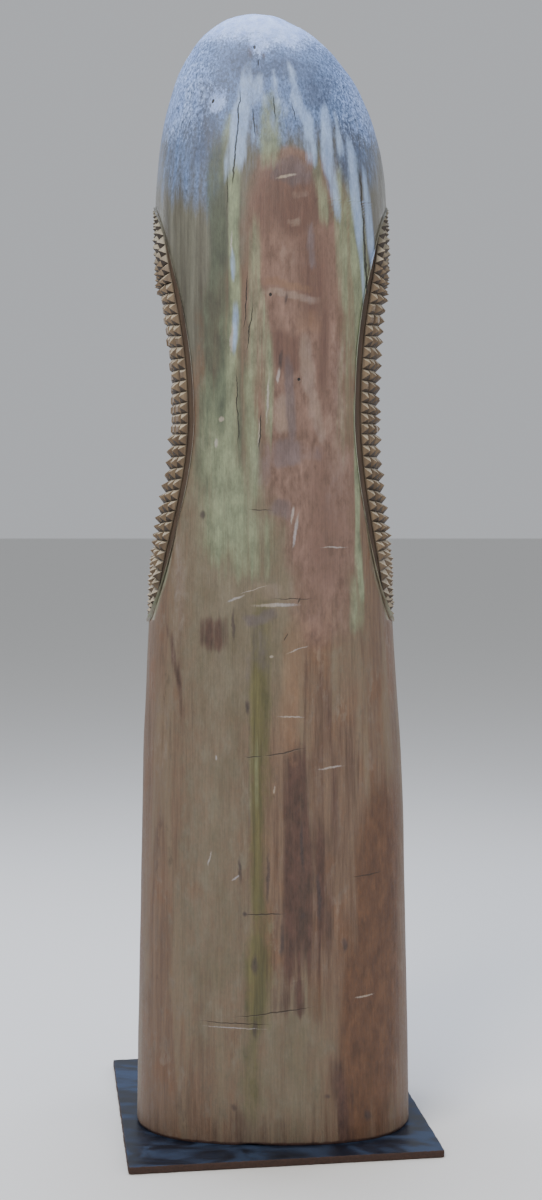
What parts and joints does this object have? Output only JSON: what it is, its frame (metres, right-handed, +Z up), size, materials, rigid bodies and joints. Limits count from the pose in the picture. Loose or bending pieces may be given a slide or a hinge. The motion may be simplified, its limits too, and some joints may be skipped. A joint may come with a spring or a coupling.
{
  "type": "slit drum",
  "caption": "Tall slit drum carved from one log, with a domed head, a waist framed by pointed studs, a plain face and a long slit, standing on a square steel plate.",
  "frame": {"origin": "centre of the plate's underside, where the object stands on the floor", "axes": "+Z up; -Y towards the side with the slit and the face; +Y towards the plain back"},
  "size_m": [0.564, 0.564, 1.815],
  "materials": {
    "carved_wood": "weathered, unpainted",
    "steel_plate": "blackened, waxed"
  },
  "bodies": {
    "root": {"drum": "carved_wood", "base_plate": "steel_plate"}
  },
  "joints": []
}
